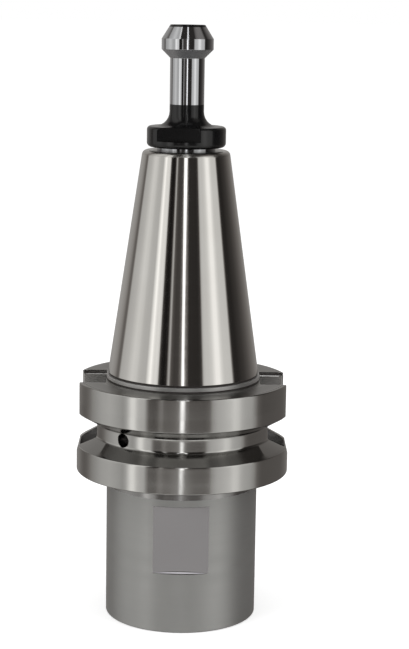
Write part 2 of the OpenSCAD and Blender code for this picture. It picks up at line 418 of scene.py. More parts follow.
# %% The slot's wall and floor
def slot_inside():
    """The slot's wall, its floor and the grazed facet of the collar, as three grids.

    The wall's columns lie at fixed shares of the way from the floor to the edge,
    which are the shares that the rows over the flange's top have. The floor's
    columns lie at fixed shares of its half width, and its last rows climb the
    edge's own curve.
    """
    mouth = edge[:len(beside_rows), -1]
    corner_x = np.concatenate([[wall_top_x], top_x])
    share = (corner_x - SLOT_FLOOR) / (wall_top_x - SLOT_FLOOR)
    wall_x = SLOT_FLOOR + (mouth[:, :1] - SLOT_FLOOR) * share
    wall = np.stack([wall_x, mouth[:, 1:2] + 0 * share, mouth[:, 2:] + 0 * share], axis=-1)
    side = np.vstack([wall[:, -1], edge[-1, -2::-1]])
    across = np.concatenate([floor_share, np.linspace(floor_share[-1], 0, EDGE_STEPS + 1)[1:]])
    floor = np.stack([
        side[:, :1] + 0 * across,
        side[:, 1:2] * across,
        side[:, 2:] + 0 * across,
    ], axis=-1)
    facet_side = np.vstack([[COLLAR_R, FLANGE_TOP], collar_rows])
    facet_half = np.sqrt(np.clip(facet_side[:, :1] ** 2 - SLOT_FLOOR**2, 0, None))
    inner = np.linspace(1, 0, EDGE_STEPS + 1)
    facet = np.stack([
        SLOT_FLOOR + 0 * facet_half * inner,
        facet_half * inner,
        facet_side[:, 1:] + 0 * inner,
    ], axis=-1)
    return wall, floor, facet


wall, floor, facet = slot_inside()
print("wall", wall.shape[:2], "floor", floor.shape[:2], "facet", facet.shape[:2])

# %% [markdown]
# ## The turned outside
#
# All runs of rows are put together, each with the angle at which its first column
# starts. Where a row crosses a spanner flat, the radius is cut down to the flat:
# its distance from the axis divided by the cosine of the angle from its middle.
# The flat's lower ledge is two strips: the inner one keeps the flat's bright steel, and the outer one is
# painted shade.

# %% The quarter of the outside
def turned_quarter():
    """Points of the outside from a slot's middle to a flat's middle, rows by columns.

    A point's radius is its row's, or the flat's distance over the sine of its
    direction where that is less. Far from the flat the sine is kept above 0.
    """
    rows = np.vstack([
        below_rows, beside_rows, rim_rows, top_rows, floor_rows, collar_rows, above_rows,
    ])
    slot_run = slice(len(below_rows), len(below_rows) + len(edge))
    floor_run = slice(slot_run.stop, slot_run.stop + len(floor_rows) + len(collar_rows))
    start = np.zeros(len(rows))
    start[slot_run] = np.arcsin(edge[:, 0, 1] / rows[slot_run, 0])
    start[floor_run] = np.arccos(np.clip(SLOT_FLOOR / rows[floor_run, 0], 0, 1))
    theta = np.array([pushed(angle) for angle in start])
    r = rows[:, :1] + 0 * theta
    flat_r = FLAT_AT / np.sin(np.maximum(theta, 0.1))
    cut = np.minimum(r, flat_r)
    lip = np.minimum(r, np.maximum(flat_r, NOSE_R - FLAT_EASE))
    for index, share in enumerate(LEDGE_SHARE, LEDGE_ROW):
        r[index] = cut[index] + share * (lip[index] - cut[index])
    return np.stack([r * np.cos(theta), r * np.sin(theta), rows[:, 1:] + 0 * theta], axis=-1)


quarter = turned_quarter()
print("the turned quarter is", quarter.shape[0], "rows by", quarter.shape[1], "columns")

# %% [markdown]
# ## The bore and its thread
#
# Inside, the nose has a female pipe thread of 14 ridges to the inch, and a coolant
# passage leads up to the tapped hole that holds the pull stud. A thread is a
# turned surface whose radius also depends on direction: the ridge climbs by one
# pitch in each turn.

# %% Thread form
PIPE_PITCH, PIPE_DEPTH = 25.4 / 14, 1.162
ROWS_PER_PITCH = 9
FLANK_STRETCH = 1.25


def thread_ridge(theta, z, pitch, depth):
    """Depth of a right-hand thread at each direction and height, from 0 to depth.

    The phase is the height in pitches less the share of a turn. The flanks are a
    triangle wave, stretched and clipped a little at crest and root.
    """
    phase = (z / pitch - theta / (2 * np.pi)) % 1
    wave = 1 - 4 * np.abs(phase - 0.5)
    return depth * (0.5 + 0.5 * np.clip(FLANK_STRETCH * wave, -1, 1))


print("the pipe thread's pitch is", round(PIPE_PITCH, 3), "mm")


# %% The bore's surface
def full_turn(columns):
    """The quarter's directions repeated by mirroring, once round the axis."""
    half = np.concatenate([columns, np.pi - columns[-2::-1]])
    return np.concatenate([half, 2 * np.pi - half[-2:0:-1]])


BORE_TURN = full_turn(COLUMNS[::2])
THREAD_TOP = 21.0


def bore_surface():
    """Points of the inside, from the socket's mouth up to the small end.

    In the socket the radius is the larger of the countersink's and the thread's,
    because each cutter only takes steel away. The thread fades out over one pitch.
    """
    thread_z = np.arange(0, THREAD_TOP + PIPE_PITCH, PIPE_PITCH / ROWS_PER_PITCH)
    upper = eased([
        (SOCKET_R, THREAD_TOP + 2 * PIPE_PITCH, 0),
        (SOCKET_R, SOCKET_DEPTH, 0.3),
        (COOLANT_R, SOCKET_DEPTH + (SOCKET_R - COOLANT_R) / DRILL_POINT, 0.2),
        (COOLANT_R, TAPPED_FOOT - COOLANT_R / DRILL_POINT, 0),
        (TAPPED_R, TAPPED_FOOT, 0.2),
        (TAPPED_R, PILOT_FOOT, 0),
        (PILOT_BORE_R, PILOT_FOOT, 0.1),
        (PILOT_BORE_R, above_rows[-1, 1], 0),
    ])
    z = np.concatenate([thread_z, upper[:, 1]])[:, None]
    r = np.concatenate([np.full(len(thread_z), SOCKET_R), upper[:, 0]])[:, None]
    theta = BORE_TURN[None, :]
    fade = np.clip((THREAD_TOP - z) / PIPE_PITCH, 0, 1)
    thread_cut = r + fade * thread_ridge(theta, z, PIPE_PITCH, PIPE_DEPTH)
    r = np.maximum(thread_cut, SOCKET_MOUTH_R - z)
    return np.stack([r * np.cos(theta), r * np.sin(theta), z + 0 * theta], axis=-1)


bore = bore_surface()
print("the bore is", bore.shape[0], "rows by", bore.shape[1], "columns")


# %% Joining the fine outside to the coarser bore
def stitch(fine, coarse):
    """Triangles between a ring of 2n points and a ring of n, where every second point faces one."""
    count = len(coarse)
    near = np.arange(count)
    far = (near + 1) % count
    middle = 2 * count + near
    fine_here, fine_mid, fine_next = 2 * near, 2 * near + 1, 2 * far
    triangles = np.concatenate([
        np.stack([middle, fine_here, fine_mid], axis=-1),
        np.stack([middle, fine_mid, 2 * count + far], axis=-1),
        np.stack([2 * count + far, fine_mid, fine_next], axis=-1),
    ])
    return np.vstack([fine, coarse]), triangles


def outer_ring(row):
    """A row of the quarter repeated once round, as points."""
    theta = full_turn(COLUMNS)
    x, y, z = quarter[row, 0]
    r = np.hypot(x, y)
    return np.stack([r * np.cos(theta), r * np.sin(theta), z + 0 * theta], axis=-1)


print("a ring of", len(outer_ring(0)), "points meets one of", len(BORE_TURN))

# %% [markdown]
# ## Steel finishes
#
# One bar of steel carries several finishes. The cone is ground, and nearly a
# mirror. The flange is fine-turned, the nose is satin. The cutter leaves hairline
# rings round the axis on all of them, so a highlight is drawn out along the axis.
# Rings depend on the height on a cone and on the radius on an end face, so the
# pattern reads the sum of both.

# %% Helpers for nodes
def socket(group, name, way, value=None):
    """Adds a named value as an input or output of a node group."""
    item = group.interface.new_socket(name=name, in_out=way, socket_type="NodeSocketFloat")
    if value is not None:
        item.default_value = value


def math_node(tree, operation, first, second=None):
    """A Math node fed by sockets or numbers, returned as its output."""
    node = tree.nodes.new("ShaderNodeMath")
    node.operation = operation
    for place, value in enumerate((first, second)):
        if isinstance(value, (int, float)):
            node.inputs[place].default_value = value
        elif value is not None:
            tree.links.new(value, node.inputs[place])
    return node.outputs[0]


def mix_colour(tree, factor, dark, light):
    """A colour mix node fed by a mask. Its inputs 6 and 7 are the two colours."""
    node = tree.nodes.new("ShaderNodeMix")
    node.data_type = "RGBA"
    tree.links.new(factor, node.inputs[0])
    node.inputs[6].default_value = (*dark, 1)
    node.inputs[7].default_value = (*light, 1)
    return node.outputs[2]


def spread_value(tree, mask, low, high):
    """Maps a noise mask from its usual span, 0.3 to 0.7, to low and high."""
    node = tree.nodes.new("ShaderNodeMapRange")
    tree.links.new(mask, node.inputs["Value"])
    for name, value in (("From Min", 0.3), ("From Max", 0.7), ("To Min", low), ("To Max", high)):
        node.inputs[name].default_value = value
    return node.outputs[0]


print("helpers for nodes are ready")

# %% Node group: rings left by the tool
BANDS_PER_MM, CLOUDS_PER_M = 0.35, 90.0


def make_tool_rings():
    """Group that gives ring height, slow bands and a cloudy mask, from Object coordinates.

    Rings and bands are noise along one line, which is the radius plus the height in
    millimetres. The clouds are noise in space.
    """
    group = bpy.data.node_groups.new("tool_rings", "ShaderNodeTree")
    socket(group, "Rings per mm", "INPUT", 6.0)
    for name in ("Height", "Bands", "Cloud"):
        socket(group, name, "OUTPUT")
    nodes, links = group.nodes, group.links
    given, result = nodes.new("NodeGroupInput"), nodes.new("NodeGroupOutput")
    where = nodes.new("ShaderNodeTexCoord")
    split = nodes.new("ShaderNodeSeparateXYZ")
    links.new(where.outputs["Object"], split.inputs[0])
    x2, y2 = (math_node(group, "MULTIPLY", split.outputs[axis], split.outputs[axis]) for axis in (0, 1))
    r = math_node(group, "SQRT", math_node(group, "ADD", x2, y2))
    along = math_node(group, "ADD", r, split.outputs[2])
    along_mm = math_node(group, "MULTIPLY", along, 1 / MM)
    for output, rate in (("Height", given.outputs[0]), ("Bands", BANDS_PER_MM)):
        noise = nodes.new("ShaderNodeTexNoise")
        noise.noise_dimensions = "1D"
        noise.inputs["Detail"].default_value = 3.0
        noise.inputs["Scale"].default_value = 1.0
        links.new(math_node(group, "MULTIPLY", along_mm, rate), noise.inputs["W"])
        links.new(noise.outputs[0], result.inputs[output])
    cloud = nodes.new("ShaderNodeTexNoise")
    cloud.inputs["Scale"].default_value = CLOUDS_PER_M
    cloud.inputs["Detail"].default_value = 4.0
    links.new(where.outputs["Object"], cloud.inputs["Vector"])
    links.new(cloud.outputs[0], result.inputs["Cloud"])
    return group


tool_rings = make_tool_rings()
print("node group", tool_rings.name, "is ready")


# %% Steel made from the group
def make_steel(name, dark, light, rough, stretch, rings_per_mm, ring_depth, metallic):
    """A steel with ring marks, or with none where ring_depth is 0.

    dark and light are the ends of a slight mottling, rough is its roughness span,
    stretch is how far a highlight is drawn out across the rings, and ring_depth is
    the height of a ring in metres.
    """
    material = bpy.data.materials.new(name)
    material.use_nodes = True
    tree = material.node_tree
    shader = tree.nodes["Principled BSDF"]
    shader.inputs["Metallic"].default_value = metallic
    shader.inputs["Anisotropic"].default_value = stretch
    shader.inputs["Anisotropic Rotation"].default_value = 0.25
    rings = tree.nodes.new("ShaderNodeGroup")
    rings.node_tree = tool_rings
    rings.inputs["Rings per mm"].default_value = rings_per_mm
    mottled = mix_colour(tree, rings.outputs["Cloud"], dark, light)
    tree.links.new(mottled, shader.inputs["Base Color"])
    marks = rings.outputs["Bands" if ring_depth else "Cloud"]
    tree.links.new(spread_value(tree, marks, *rough), shader.inputs["Roughness"])
    if ring_depth:
        tangent = tree.nodes.new("ShaderNodeTangent")
        tangent.direction_type, tangent.axis = "RADIAL", "Z"
        tree.links.new(tangent.outputs[0], shader.inputs["Tangent"])
        bump = tree.nodes.new("ShaderNodeBump")
        bump.inputs["Distance"].default_value = ring_depth
        tree.links.new(rings.outputs["Height"], bump.inputs["Height"])
        tree.links.new(bump.outputs[0], shader.inputs["Normal"])
    return material


# Name, dark and light colour, roughness span, stretch, rings per mm, ring height in m, metallic
HOLDER_FINISHES = [
    ("ground_steel", (0.66, 0.645, 0.62), (0.72, 0.71, 0.69), (0.075, 0.10), 0.85, 8.0, 1.5e-7, 1.0),
    ("turned_steel", (0.50, 0.495, 0.48), (0.57, 0.565, 0.55), (0.10, 0.14), 0.85, 7.0, 3e-7, 1.0),
    ("satin_steel", (0.38, 0.38, 0.372), (0.43, 0.43, 0.42), (0.40, 0.47), 0.3, 5.0, 5e-7, 0.82),
    ("milled_steel", (0.50, 0.495, 0.485), (0.55, 0.545, 0.535), (0.20, 0.24), 0.0, 3.0, 0, 0.9),
    # Faced steel, darkened as painted shade on the flange top
    ("faced_painted_shade_steel", (0.28, 0.275, 0.265), (0.33, 0.325, 0.315), (0.27, 0.33), 0.5, 6.0, 6e-7, 1.0),
    # Near-black steel, painted shade: relief, collar's foot, outer strip of the flats' ledges, bore
    ("painted_shade_steel", (0.05, 0.045, 0.042), (0.09, 0.08, 0.075), (0.5, 0.6), 0.0, 3.0, 0, 0.6),
    # Darker steel, painted shade on the groove walls
    ("groove_painted_shade_steel", (0.325, 0.32, 0.31), (0.37, 0.365, 0.355), (0.10, 0.14), 0.85, 7.0, 3e-7, 1.0),
    ("bevel_steel", (0.56, 0.555, 0.545), (0.62, 0.615, 0.605), (0.08, 0.11), 0.0, 3.0, 0, 1.0),
    ("collar_steel", (0.54, 0.535, 0.525), (0.60, 0.595, 0.585), (0.40, 0.46), 0.3, 5.0, 5e-7, 0.85),
    ("flat_steel", (0.50, 0.49, 0.505), (0.53, 0.52, 0.535), (0.045, 0.06), 0.0, 3.0, 0, 1.0),
    # Dark steel, painted shade in the slot's round end and the pocket
    ("slot_end_painted_shade", (0.19, 0.185, 0.18), (0.23, 0.225, 0.22), (0.26, 0.30), 0.0, 3.0, 0, 1.0),
    ("tip_steel", (0.60, 0.585, 0.56), (0.66, 0.65, 0.63), (0.20, 0.25), 0.3, 6.0, 1.5e-7, 1.0),
    ("neck_steel", (0.33, 0.325, 0.32), (0.37, 0.365, 0.36), (0.15, 0.19), 0.0, 3.0, 0, 1.0),
]
# Each finish is called by the number of its row in the table
GROUND, TURNED, SATIN, MILLED, FACED_PAINTED_SHADE, PAINTED_SHADE, SHADED_GROOVE = range(7)
BEVELLED, COLLAR, FLAT, SLOT_END_SHADE, TIP, NECK = range(7, len(HOLDER_FINISHES))
holder_steels = [make_steel(*row) for row in HOLDER_FINISHES]
print("steels:", [steel.name for steel in holder_steels])

# %% [markdown]
# ## The holder
#
# The patches are mirrored into all four quarters and merged. Each patch knows its
# finish, and the turned outside changes its finish from row to row: satin nose with
# a smooth neck under the rim, fine-turned rims, groove walls darkened as painted
# shade, a faced flange top darkened as painted shade, a brushed collar with a
# near-black line of painted shade at its foot, painted shade in the relief, ground
# cone and a polished-over tip. The spanner flats are milled smooth, and the outer
# strip of their lower ledge is painted shade.

# %% Finishes of the turned outside
HAIR = 0.01
END_FACE_R = TIP_R - 3.0
TIP_FROM = TAPER_TOP - 0.8 * TIP_ROUND


def turned_finish():
    """Finish of each face of the turned quarter, from the middle of its two rows.

    Heights are told apart by a hair's width, so that a row on a border counts once.
    """
    r = np.hypot(quarter[:, 0, 0], quarter[:, 0, 1])
    z = quarter[:, 0, 2]
    r, z = (r[:-1] + r[1:]) / 2, (z[:-1] + z[1:]) / 2
    finish = np.full(len(r), TURNED)
    finish[z < NOSE_TOP - HAIR] = NECK
    finish[z < NECK_FOOT] = SATIN
    # painted shade: the groove walls are darker
    finish[(np.abs(z - GROOVE_Z) < GROOVE_HALF - 0.1) & (r > GROOVE_R + 0.1)] = SHADED_GROOVE
    finish[(z > FLANGE_TOP - HAIR) & (z < RELIEF_Z + HAIR)] = COLLAR
    # painted shade: a near-black line at the collar's foot
    finish[(z > FLANGE_TOP + HAIR) & (z < COLLAR_FOOT)] = PAINTED_SHADE
    # the faced flange top, darkened as painted shade
    finish[(np.abs(z - FLANGE_TOP) < HAIR) & (r > COLLAR_R)] = FACED_PAINTED_SHADE
    finish[(z > RELIEF_Z + HAIR) & (r > END_FACE_R)] = GROUND
    finish[(z > TIP_FROM) & (r > END_FACE_R)] = TIP
    # painted shade in the relief
    finish[(z > RELIEF_Z - HAIR) & (z < GAUGE_Z + 2 * HAIR) & (r < TAPER_R - 0.05)] = PAINTED_SHADE
    by_face = np.repeat(finish[:, None], len(COLUMNS) - 1, axis=1)
    past_edge = COLUMNS[1:] > FLAT_EDGE + 1e-6
    on_flat = (z > FLAT_LOW - HAIR) & (z < FLAT_HIGH + HAIR)
    by_face[np.ix_(on_flat, past_edge)] = FLAT
    # painted shade on the outer strip of each flat's lower ledge
    by_face[LEDGE_ROW, past_edge] = PAINTED_SHADE
    return by_face.ravel()


print("faces of a quarter by finish:", np.bincount(turned_finish()).tolist())


# %% Holder piece
def holder_patches():
    """All patches of the holder: four mirrored quarters, the bore, and two stitched rings."""
    # The slot's round end below SLOT_END is painted shade
    wall_finish = np.where(wall[:-1, 0, 2] < SLOT_END, SLOT_END_SHADE, MILLED)
    quarter_patches = [
        (grid, grid_faces(*grid.shape[:2]), finish)
        for grid, finish in (
            (quarter, turned_finish()),
            (edge, BEVELLED),
            (wall, np.repeat(wall_finish, wall.shape[1] - 1)),
            (floor, MILLED),
            (facet, MILLED),
        )
    ]
    patches = [
        mirrored(patch, signs)
        for signs in ((1, 1, 1), (-1, 1, 1), (1, -1, 1), (-1, -1, 1))
        for patch in quarter_patches
    ]
    # The bore and the ring at the small end are painted shade; the ring at the mouth is satin
    patches.append((bore, grid_faces(*bore.shape[:2], closed=True), PAINTED_SHADE))
    patches.append((*stitch(outer_ring(0), bore[0]), SATIN))
    patches.append((*stitch(outer_ring(-1), bore[-1]), PAINTED_SHADE))
    return patches


holder = build_piece("holder_shell", holder_patches(), holder_steels)
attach(holder, "root")
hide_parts("holder_body")

# %% [markdown]
# The pocket in the groove is drilled, so it is cut with a drill's shape: a
# cylinder with a cone at its tip. The cut is applied to the mesh at once, and
# the pocket's wall takes the drill's dark steel, which is painted shade.

# %% Pocket in the groove
DRILL_SIDES, DRILL_SPARE = 64, 3.0


def drill_shape():
    """Points and faces of a drill that points to the axis, in mm.

    It is a profile of (distance from its own line, distance from the holder's axis),
    carried round its own line, which lies at the pocket's angle and height.
    """
    profile = np.array([
        (0, GROOVE_R + DRILL_SPARE),
        (POCKET_R, GROOVE_R + DRILL_SPARE),
        (POCKET_R, GROOVE_R - POCKET_DEPTH),
        (0, GROOVE_R - POCKET_DEPTH - POCKET_R / DRILL_POINT),
    ])
    around = np.linspace(0, 2 * np.pi, DRILL_SIDES, endpoint=False)
    out = profile[:, 1:2] + 0 * around
    side = profile[:, :1] * np.cos(around)
    up = GROOVE_Z + profile[:, :1] * np.sin(around)
    x = out * np.cos(POCKET_TURN) - side * np.sin(POCKET_TURN)
    y = out * np.sin(POCKET_TURN) + side * np.cos(POCKET_TURN)
    points = np.stack([x, y, up], axis=-1)
    # The drill's dark steel passes to the pocket's wall as painted shade
    return points, grid_faces(len(profile), DRILL_SIDES, closed=True), SLOT_END_SHADE


drill = build_piece("pocket_drill", [drill_shape()], holder_steels)
cut = holder.modifiers.new("pocket", "BOOLEAN")
cut.operation, cut.solver, cut.object = "DIFFERENCE", "EXACT", drill
holder.modifiers.move(1, 0)
depsgraph = bpy.context.evaluated_depsgraph_get()
drilled = bpy.data.meshes.new_from_object(holder.evaluated_get(depsgraph))
holder.modifiers.clear()
holder.data = drilled
bpy.data.objects.remove(drill)
print("holder after drilling:", len(drilled.polygons), "faces")

# %% [markdown]
# ## The pull stud
#
# The stud is turned too: thread, ground pilot, a round flange with two spanner
# flats, a neck that flares into the flange, and a head with a 45 degree grip face.
# It is blackened, and the neck and head are then ground bright.

# %% Pull stud sizes
STUD_RIM_R, STUD_FLAT, STUD_TURN = 11.5, 9.5, np.radians(257)
STUD_RIM_TOP, STUD_LIP = STUD_FACE + 6.0, STUD_FACE + 2.0
STUD_TOP_ROUND, STUD_LOW_ROUND = 1.0, 1.3
STUD_NECK_R, STUD_NECK_ROUND = 5.0, 4.2
HEAD_R, HEAD_TOP_R, HEAD_HEIGHT, HEAD_CAP = 7.5, 5.0, 3.0, 0.65
GRIP_EDGE, STUD_TOP = STUD_FACE + 28.0, STUD_FACE + 35.0
GRIP_FOOT, CONE_FOOT = GRIP_EDGE - HEAD_R + STUD_NECK_R, GRIP_EDGE + HEAD_HEIGHT
HEAD_SLOPE = (HEAD_R - HEAD_TOP_R) / (STUD_TOP - CONE_FOOT)
PILOT_R, STUD_THREAD_R, STUD_BORE_R, STUD_BORE_EDGE = 8.5, 7.95, 2.0, 0.4
THREAD_FOOT, THREAD_BEVEL, THREAD_END = PILOT_FOOT - 17.0, 1.2, PILOT_FOOT - 1.0
STUD_PITCH, STUD_DEPTH = 2.0, 1.2
BLACK_TO = 152.2
print("stud from", round(THREAD_FOOT, 3), "to", round(STUD_TOP, 3), "mm")

# %% [markdown]
# The profile of the stud runs from the foot of its bore, out and up the thread,
# over the flange and head, and down the bore again, so its last row lies on its
# first. The rim's row at the lip of the flats stands twice: the first stays round,
# and the second is cut to the flats.

# %% Pull stud rows
stud_lower = eased([
    (STUD_BORE_R, THREAD_FOOT, 0),
    (STUD_THREAD_R - THREAD_BEVEL, THREAD_FOOT, 0.1),
    (STUD_THREAD_R, THREAD_FOOT + THREAD_BEVEL, 0.1),
    (STUD_THREAD_R, THREAD_FOOT + THREAD_BEVEL + 0.2, 0),
])
stud_thread_z = np.arange(THREAD_FOOT + 1.5, THREAD_END, STUD_PITCH / ROWS_PER_PITCH)
stud_thread = np.column_stack([np.full(len(stud_thread_z), STUD_THREAD_R), stud_thread_z])
stud_upper = eased([
    (STUD_THREAD_R, PILOT_FOOT - 0.5, 0),
    (STUD_THREAD_R, PILOT_FOOT, 0),
    (PILOT_R, PILOT_FOOT, 0.1),
    (PILOT_R, STUD_FACE, 0),
    (STUD_RIM_R, STUD_FACE, STUD_LOW_ROUND),
    (STUD_RIM_R, STUD_LIP, 0),
    (STUD_RIM_R, STUD_LIP, 0),
    (STUD_RIM_R, STUD_RIM_TOP, STUD_TOP_ROUND),
    (STUD_NECK_R, STUD_RIM_TOP, STUD_NECK_ROUND),
    (STUD_NECK_R, BLACK_TO, 0),
    (STUD_NECK_R, GRIP_FOOT, 0.15),
    (HEAD_R, GRIP_EDGE, 0.15),
    (HEAD_R, CONE_FOOT, 0.2),
    (HEAD_TOP_R + HEAD_CAP * HEAD_SLOPE, STUD_TOP - HEAD_CAP, 0),
    (HEAD_TOP_R, STUD_TOP, 0.35),
    (STUD_BORE_R + STUD_BORE_EDGE, STUD_TOP, 0),
    (STUD_BORE_R, STUD_TOP - STUD_BORE_EDGE, 0),
    (STUD_BORE_R, THREAD_FOOT, 0),
])
print(len(stud_thread), "rows in the stud's thread and", len(stud_upper), "above it")


# %% Pull stud surface
STUD_FLAT_STEPS, STUD_ROUND_STEPS = 24, 40


def stud_surface():
    """Points of the stud, rows by columns.

    The radius is the profile's, less the thread's ridge, and cut to the flats where
    the row lies above the lip: flat distance over the cosine from the flat's middle.
    Far from the flats the cosine is kept above 0.
    """
    rows = np.vstack([stud_lower, stud_thread, stud_upper])
    half_flat = np.arccos(STUD_FLAT / STUD_RIM_R)
    part = np.concatenate([
        np.linspace(0, half_flat, STUD_FLAT_STEPS + 1)[:-1],
        np.linspace(half_flat, np.pi / 2, STUD_ROUND_STEPS + 1),
    ])
    theta = full_turn(part)
    r = rows[:, :1] + 0 * theta
    z = rows[:, 1:] + 0 * theta
    threaded = slice(len(stud_lower), len(stud_lower) + len(stud_thread))
    ridge = thread_ridge(theta + STUD_TURN, z[threaded], STUD_PITCH, STUD_DEPTH)
    r[threaded] -= ridge * np.clip((THREAD_END - z[threaded]) / STUD_PITCH, 0, 1)
    on_lip = np.isclose(rows[:, 1], STUD_LIP) & np.isclose(rows[:, 0], STUD_RIM_R)
    above_lip = slice(np.flatnonzero(on_lip)[0] + 1, None)
    flat_r = STUD_FLAT / np.maximum(np.abs(np.cos(theta)), 0.2)
    r[above_lip] = np.minimum(r[above_lip], flat_r)
    theta = theta + STUD_TURN
    return np.stack([r * np.cos(theta), r * np.sin(theta), z], axis=-1)


stud = stud_surface()
print("the stud is", stud.shape[0], "rows by", stud.shape[1], "columns")

# %% Pull stud piece
STUD_FINISHES = [
    ("black_oxide", (0.003, 0.003, 0.0032), (0.006, 0.006, 0.0065), (0.15, 0.21), 0.6, 5.0, 3e-7, 0.0),
    ("stud_steel", (0.55, 0.56, 0.58), (0.61, 0.62, 0.64), (0.08, 0.11), 0.85, 8.0, 0.8e-7, 1.0),
    ("grip_steel", (0.40, 0.405, 0.415), (0.46, 0.465, 0.475), (0.32, 0.38), 0.0, 5.0, 0, 0.85),
    # Darker steel, painted shade on the pilot in the gap under the stud's flange
    ("pilot_painted_shade_steel", (0.36, 0.365, 0.38), (0.42, 0.425, 0.44), (0.12, 0.16), 0.85, 8.0, 1.5e-7, 1.0),
]
BLACK, BRIGHT, GRIP, SHADED_PILOT = range(len(STUD_FINISHES))
stud_steels = [make_steel(*row) for row in STUD_FINISHES]


def stud_finish():
    """Finish of each face: the neck above BLACK_TO and the head's sides are bright.

    The grip face below the head is rougher, as the cutter leaves it, and the pilot
    is darker, as painted shade in the gap under the stud's flange, and a little rougher.
    """
    r = np.hypot(stud[:, 0, 0], stud[:, 0, 1])
    z = stud[:, 0, 2]
    r, z = (r[:-1] + r[1:]) / 2, (z[:-1] + z[1:]) / 2
    outside = r > STUD_BORE_R + 0.5
    finish = np.full(len(r), BLACK)
    finish[(z > BLACK_TO) & (z < STUD_TOP - HEAD_CAP) & outside] = BRIGHT
    # painted shade on the pilot between the stud's flange and the holder's small end
    finish[(z > PILOT_FOOT) & (z < STUD_FACE) & outside] = SHADED_PILOT
    finish[(z > GRIP_FOOT + 0.1) & (z < GRIP_EDGE - 0.1) & (r > STUD_NECK_R)] = GRIP
    return np.repeat(finish, stud.shape[1])


stud_patch = (stud, grid_faces(*stud.shape[:2], closed=True), stud_finish())
stud_piece = build_piece("stud_turned", [stud_patch], stud_steels)
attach(stud_piece, "root")
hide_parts("pull_stud")

# %% [markdown]
# ## The studio
#
# Polished steel has hardly a colour of its own: it shows what stands round it. The
# object stands on a white table in a paper tent. The tent's walls are bright on
# both sides, with a dark gap round the camera, and its roof is dark. A narrow
# strip lamp hangs above the camera, and draws the thin white line down the middle
# of every turned face. The tent is shown to reflections only, so it hides nothing
# from the camera, and the table's shadow comes from the plain lamps. The levels of
# the walls follow the brightness of the stripes on the cone and the flange, as read
# from the photo beside a render, and a helper script merged and thinned the lists.

# %% Glow of the tent's walls
# Degrees round from the camera, then the glow: level with the cone, and level with the flange
CONE_GLOW = np.array([
    (-180, 0.42), (-150, 0.39), (-144, 0.4), (-132, 0.35), (-126, 0.28), (-120, 0.16),
    (-115.5, 0.16), (-111, 0.52), (-96, 0.62), (-84, 0.83), (-76, 0.77), (-71, 0.64),
    (-66, 0.59), (-58.5, 0.58), (-55, 1.02), (-51, 1.4), (-48.5, 1.12), (-46, 0.96), (-42, 1),
    (-39, 0.84), (-37, 0.08), (-34, 0.02), (-30, 0.012), (-25.2, 0.03), (-23.5, 0.34),
    (-21.5, 0.58), (-20, 0.24), (-18.5, 0.1), (-14, 0.062), (-8, 0.07), (-4, 0.2), (4, 0.2),
    (8, 0.035), (24, 0.03), (28.5, 0.06), (31.5, 0.62), (35, 0.72), (40, 0.73), (45, 0.83),
    (52, 1.2), (57, 1.2), (62, 0.9), (66, 0.76), (79, 0.72), (82.5, 0.1), (85, 0.028),
    (92, 0.025), (108, 0.055), (120, 0.1), (180, 0.42),
])
FLANGE_GLOW = np.array([
    (-180, 0.28), (-150, 0.26), (-138, 0.18), (-132, 0.16), (-126, 0.18), (-120, 0.25),
    (-114, 0.36), (-96, 0.58), (-84, 0.62), (-71, 0.52), (-66, 0.46), (-62, 0.6), (-56, 1.22),
    (-53, 1.18), (-49, 0.8), (-45, 0.66), (-41, 0.62), (-38.5, 0.38), (-35.5, 0.17),
    (-30, 0.14), (-27, 0.17), (-25, 0.24), (-22, 0.24), (-19, 0.2), (-14, 0.2), (-8, 0.23),
    (-4, 0.32), (4, 0.28), (8, 0.17), (24, 0.16), (29, 0.22), (32, 0.43), (38, 0.63),
    (52, 0.79), (57, 0.97), (62, 0.92), (66, 0.7), (70, 0.6), (78, 0.52), (84, 0.41),
    (88, 0.21), (92, 0.16), (96, 0.14), (120, 0.14), (135, 0.14), (180, 0.28),
])
DARK_TINT, LIGHT_TINT, FULL_TINT = np.array([1.0, 0.90, 0.84]), np.array([1.0, 0.99, 0.965]), 0.5
print("walls in", len(CONE_GLOW), "and", len(FLANGE_GLOW), "steps")

# %% [markdown]
# The walls blend from the one table to the other just under the horizon. They reach
# higher on the left, where the roof begins, and the roof is a little brighter on
# the right. The foot is dark on the right behind the object, and right under it, in
# its own shade. A grey card lies under the camera, on a wider one.

# %% Walls, roof and cards
ROOF_GLOW, RIGHT_ROOF_GLOW, FOOT_GLOW, RIGHT_FOOT_GLOW = 0.035, 0.25, 0.28, 0.08
SHADE_GLOW, CARD_GLOW, WIDE_CARD_GLOW = 0.04, 0.45, 0.90
# Degrees up, from where each part starts to show to where it shows fully
CONE_SPAN, FOOT_SPAN, SHADE_SPAN, WIDE_CARD_SPAN = (-10, -4), (-30, -45), (-50, -70), (-17.5, -19.5)
ROOF_FROM, LEFT_ROOF_HIGHER, ROOF_SOFT, RIGHT_ROOF_TOP = 38, 24, 5, (64, 59)
CARD_TOP, CARD_FOOT, WIDE_CARD_FOOT = -14.4, -30, -45
# Degrees round, as a middle, or as a span to either side of it
LEFT_WALL_AT, LEFT_WALL_SPAN, RIGHT_ROOF_AT, RIGHT_ROOF_SPAN = -83, (45, 33), 76, (30, 22)
BEHIND_SPAN, CARD_SIDES, WIDE_CARD_SIDES = (84, 96), (14, 8), (42, 34)


def rise(value, start, full):
    """0 up to start and 1 from full on, and even between, also where full is the lower one."""
    return np.clip((value - start) / (full - start), 0, 1)


def blend(share, under, over):
    """The value under where share is 0, the value over where it is 1."""
    return (1 - share) * under + share * over


